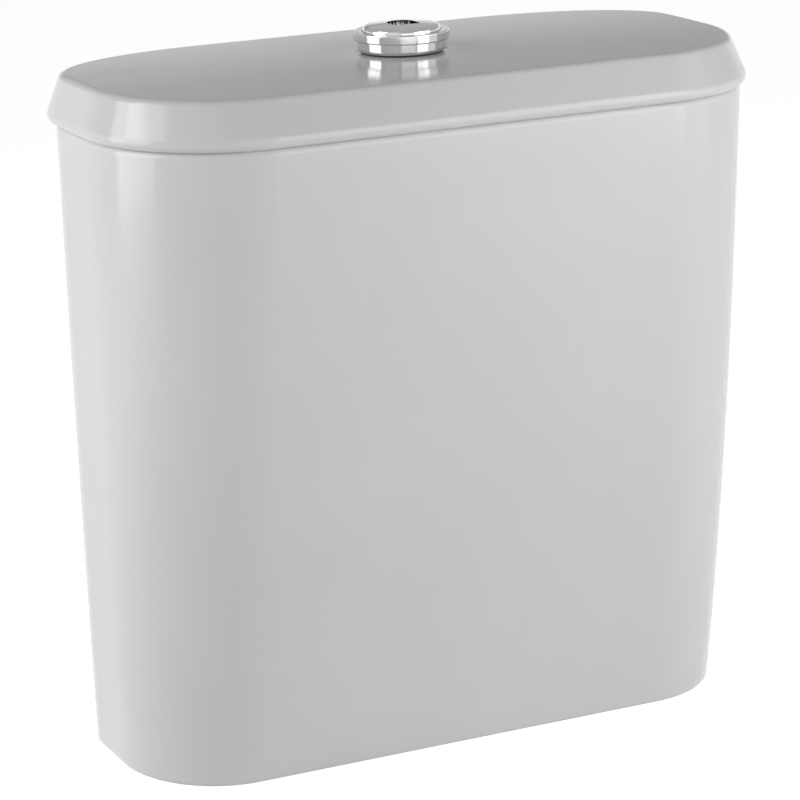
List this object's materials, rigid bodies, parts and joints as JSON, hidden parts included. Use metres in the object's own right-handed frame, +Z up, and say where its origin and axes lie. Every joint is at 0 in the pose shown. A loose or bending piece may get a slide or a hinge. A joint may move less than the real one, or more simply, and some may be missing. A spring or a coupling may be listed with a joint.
{
  "type": "toilet cistern",
  "caption": "Close-coupled ceramic toilet cistern with rounded front, lift-off lid, split push button, lifting flush valve and float-operated fill valve.",
  "frame": {"origin": "middle of the footprint, on the surface that the tank's skirt rim stands on", "axes": "+X along the width to the viewer's right, the front faces -Y, +Z up"},
  "size_m": [0.3778, 0.1946, 0.3902],
  "materials": {
    "china": "gloss",
    "chrome": "polished",
    "white_plastic": "satin",
    "blue_plastic": "satin",
    "grey_plastic": "satin",
    "rubber": "matt",
    "stainless": "brushed",
    "zinc": "zinc plated",
    "brass": "turned"
  },
  "bodies": {
    "cistern": {"tank": "china", "flush_valve_base": "white_plastic", "flush_base_washer": "rubber", "flush_back_nut": "white_plastic", "coupling_gasket": "rubber", "flush_cage": "white_plastic", "flush_head": "white_plastic", "lever_pin": "stainless", "fill_shank": "brass", "fill_shank_washer": "rubber", "fill_back_nut": "white_plastic", "fill_lock_ring": "white_plastic", "fill_column": "white_plastic", "fill_head": "white_plastic", "fill_diaphragm": "rubber", "fill_cap": "blue_plastic", "fill_arm_pins": "stainless", "inlet_filter": "white_plastic", "fixing_bolts": "stainless", "bolt_cone_washers": "rubber", "bolt_head_washers": "stainless", "under_floor_washers": "stainless", "clamp_nuts": "stainless", "wing_nuts": "zinc", "deck_washers": "stainless"},
    "lid": {"lid": "china", "button_bezel": "chrome", "bezel_gasket": "rubber", "bezel_nut": "white_plastic", "button_guide": "white_plastic"},
    "full_button": {"full_button_cap": "chrome", "full_plunger": "white_plastic", "full_rod": "blue_plastic", "full_spring": "stainless"},
    "half_button": {"half_button_cap": "chrome", "half_plunger": "white_plastic", "half_rod": "grey_plastic", "half_spring": "stainless"},
    "full_lever": {"full_lever": "blue_plastic"},
    "half_lever": {"half_lever": "grey_plastic"},
    "valve": {"overflow_tube": "white_plastic", "lift_hook": "blue_plastic", "valve_foot": "white_plastic", "valve_seal": "rubber", "seal_nut": "white_plastic", "full_float": "blue_plastic"},
    "half_float": {"half_float": "grey_plastic"},
    "fill_float": {"fill_float": "grey_plastic", "float_clip": "white_plastic", "float_link": "white_plastic"},
    "fill_arm": {"fill_arm": "grey_plastic"}
  },
  "joints": [
    {"name": "lid_lift", "type": "slide", "parent": "cistern", "child": "lid", "axis": [0, 0, 1], "range_m": [0, 0.15]},
    {"name": "full_button_press", "type": "slide", "parent": "lid", "child": "full_button", "axis": [0, 0, -1], "range_m": [0, 0.006], "stiffness_N_per_m": 500, "springref_m": -0.004, "deforming": ["full_spring"]},
    {"name": "half_button_press", "type": "slide", "parent": "lid", "child": "half_button", "axis": [0, 0, -1], "range_m": [0, 0.006], "stiffness_N_per_m": 500, "springref_m": -0.004, "deforming": ["half_spring"]},
    {"name": "full_lever_turn", "type": "hinge", "parent": "cistern", "child": "full_lever", "pos_m": [0.007, 0.0085, 0.316], "axis": [0, -1, 0], "range_deg": [0, 22.92]},
    {"name": "half_lever_turn", "type": "hinge", "parent": "cistern", "child": "half_lever", "pos_m": [0.007, -0.0085, 0.316], "axis": [0, -1, 0], "range_deg": [0, 22.92]},
    {"name": "valve_lift", "type": "slide", "parent": "cistern", "child": "valve", "axis": [0, 0, 1], "range_m": [0, 0.012]},
    {"name": "half_float_lift", "type": "slide", "parent": "cistern", "child": "half_float", "axis": [0, 0, 1], "range_m": [0, 0.012]},
    {"name": "fill_float_rise", "type": "slide", "parent": "cistern", "child": "fill_float", "axis": [0, 0, 1], "range_m": [0, 0.018]},
    {"name": "fill_arm_turn", "type": "hinge", "parent": "cistern", "child": "fill_arm", "pos_m": [-0.148, 0, 0.273], "axis": [0, -1, 0], "range_deg": [0, 24.56]}
  ],
  "couplings": [
    {"joint": "full_lever_turn", "follows": "full_button_press", "rad_per_m": 66.667},
    {"joint": "half_lever_turn", "follows": "half_button_press", "rad_per_m": 66.667},
    {"joint": "valve_lift", "follows": "full_button_press", "ratio": 2},
    {"joint": "half_float_lift", "follows": "half_button_press", "ratio": 2},
    {"joint": "fill_arm_turn", "follows": "fill_float_rise", "rad_per_m": 23.809}
  ]
}
